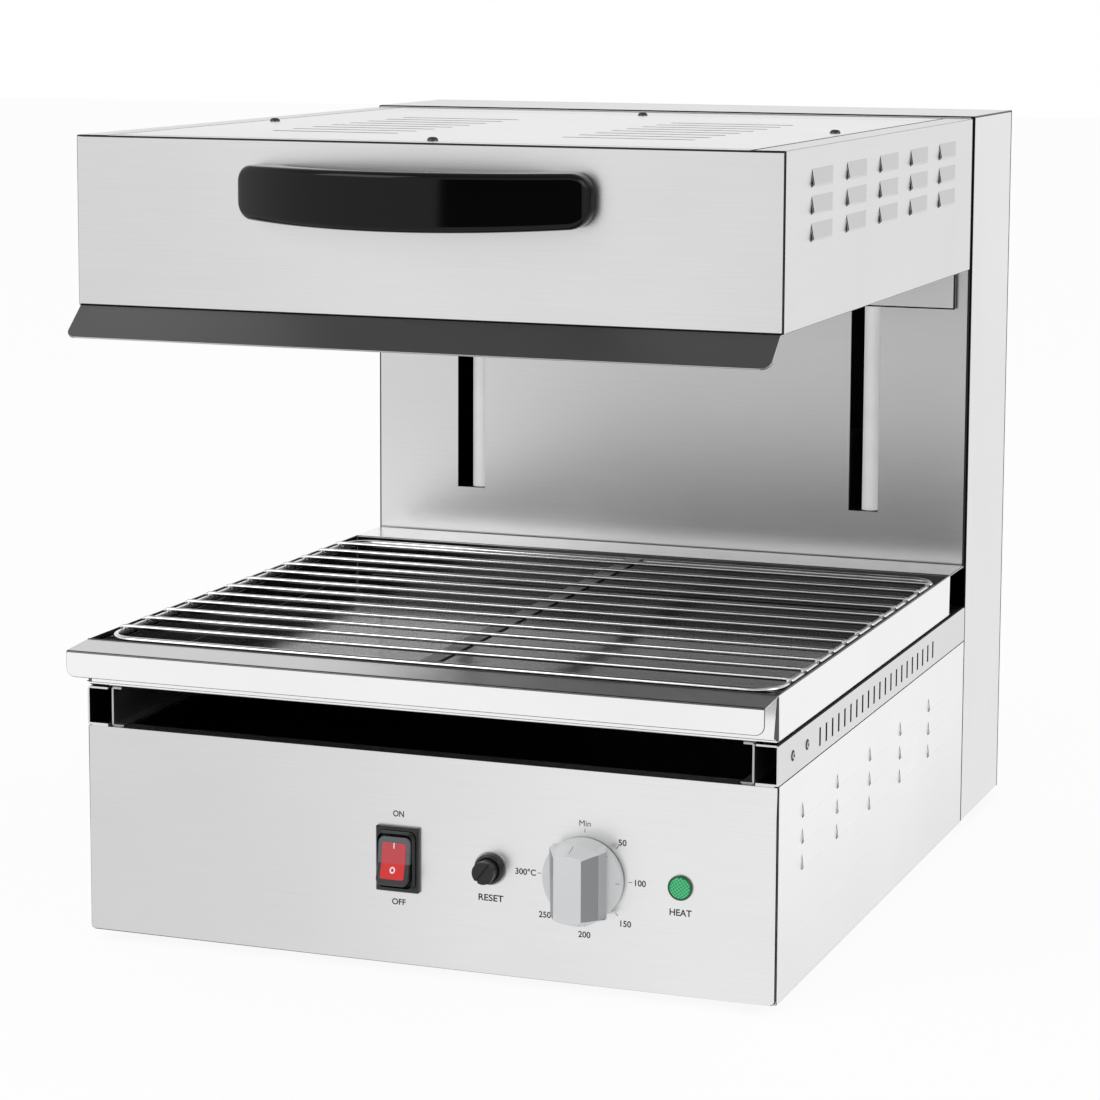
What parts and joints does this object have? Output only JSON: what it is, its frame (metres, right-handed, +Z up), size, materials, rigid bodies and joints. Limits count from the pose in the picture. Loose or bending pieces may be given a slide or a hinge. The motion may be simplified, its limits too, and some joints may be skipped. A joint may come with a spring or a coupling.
{
  "type": "salamander grill",
  "caption": "Electric rise-and-fall salamander grill: a heating head slides on a rear column over a drip pan with a wire grid on a counter base.",
  "frame": {"origin": "middle of the bounding box, on the surface that the feet stand on", "axes": "+X to the right seen from the controls, +Y from the controls to the column, +Z up"},
  "size_m": [0.455, 0.646, 0.5082],
  "materials": {
    "black_plastic": "matte",
    "black_rubber": "matte",
    "bright_rod": "bright drawn rod",
    "bronze": "plain turned",
    "cream_plastic": "matte",
    "dark_steel": "heat-stained tube",
    "fibre": "soft ceramic fibre",
    "green_lens": "clear green, glossy",
    "grey_plastic": "matte",
    "iron": "rough cast",
    "red_lens": "clear red, glossy",
    "silver_knob": "satin silver",
    "stainless": "brushed, satin"
  },
  "bodies": {
    "base": {"base_floor": "stainless", "front_panel": "stainless", "side_skin_left": "stainless", "side_skin_right": "stainless", "side_rail_left": "stainless", "side_rail_right": "stainless", "runner_plates": "stainless", "inner_deck": "stainless", "column_shell": "stainless", "column_front": "stainless", "rear_cover": "stainless", "case_screws": "stainless", "rubber_feet": "black_rubber", "guide_rods": "bright_rod", "lower_crossbar": "stainless", "upper_crossbar": "stainless", "weight_rods": "bright_rod", "cable_wraps": "bright_rod", "switch_housing": "black_plastic", "limit_switch": "black_plastic", "reset_washer": "stainless", "reset_nut": "black_plastic", "lamp_body": "black_plastic", "lamp_lens": "green_lens", "thermostat_body": "stainless", "terminal_block": "cream_plastic", "cable_gland": "black_plastic", "wiring_loom": "grey_plastic"},
    "heating_head": {"hood_front": "stainless", "hood_side_left": "stainless", "hood_side_right": "stainless", "hood_rear": "stainless", "top_cover": "stainless", "top_screws": "stainless", "reflector": "stainless", "insulation_pad": "fibre", "heating_elements": "dark_steel", "element_supports": "stainless", "visor": "stainless", "handle": "black_plastic", "handle_screws": "stainless", "lift_plate": "stainless", "lift_bolts": "stainless", "slider_left": "stainless", "slider_right": "stainless", "slider_bushes": "bronze", "carriage_bar": "stainless", "cables_front": "bright_rod"},
    "drip_pan": {"drip_pan": "stainless"},
    "wire_grid": {"wire_grid": "bright_rod"},
    "knob": {"knob": "silver_knob", "thermostat_shaft": "stainless"},
    "rocker": {"rocker": "black_plastic", "rocker_lens": "red_lens"},
    "reset_button": {"reset_button": "black_plastic"},
    "pulley_left": {"pulley_left": "grey_plastic"},
    "pulley_right": {"pulley_right": "grey_plastic"},
    "counterweight": {"counterweight": "iron", "cables_rear": "bright_rod"}
  },
  "joints": [
    {"name": "head_lift", "type": "slide", "parent": "base", "child": "heating_head", "axis": [0, 0, 1], "range_m": [-0.165, 0], "deforming": ["cables_front"]},
    {"name": "counterweight_slide", "type": "slide", "parent": "base", "child": "counterweight", "axis": [0, 0, 1], "range_m": [0, 0.165], "deforming": ["cables_rear"]},
    {"name": "pulley_left_turn", "type": "hinge", "parent": "base", "child": "pulley_left", "pos_m": [-0.06, 0.251, 0.4663], "axis": [1, 0, 0], "range_deg": [0, 526]},
    {"name": "pulley_right_turn", "type": "hinge", "parent": "base", "child": "pulley_right", "pos_m": [0.06, 0.251, 0.4663], "axis": [1, 0, 0], "range_deg": [0, 526]},
    {"name": "pan_slide", "type": "slide", "parent": "base", "child": "drip_pan", "axis": [0, -1, 0], "range_m": [0, 0.3]},
    {"name": "grid_lift", "type": "slide", "parent": "drip_pan", "child": "wire_grid", "axis": [0, 0, 1], "range_m": [0, 0.02]},
    {"name": "knob_turn", "type": "hinge", "parent": "base", "child": "knob", "pos_m": [0.106, -0.283, 0.0717], "axis": [0, 1, 0], "range_deg": [0, 270]},
    {"name": "rocker_turn", "type": "hinge", "parent": "base", "child": "rocker", "pos_m": [-0.014, -0.275, 0.0717], "axis": [1, 0, 0], "range_deg": [0, 24]},
    {"name": "reset_push", "type": "slide", "parent": "base", "child": "reset_button", "axis": [0, 1, 0], "range_m": [0, 0.002], "stiffness_N_per_m": 600}
  ],
  "couplings": [
    {"joint": "counterweight_slide", "follows": "head_lift", "ratio": -1},
    {"joint": "pulley_left_turn", "follows": "head_lift", "rad_per_m": -55.556},
    {"joint": "pulley_right_turn", "follows": "head_lift", "rad_per_m": -55.556}
  ]
}
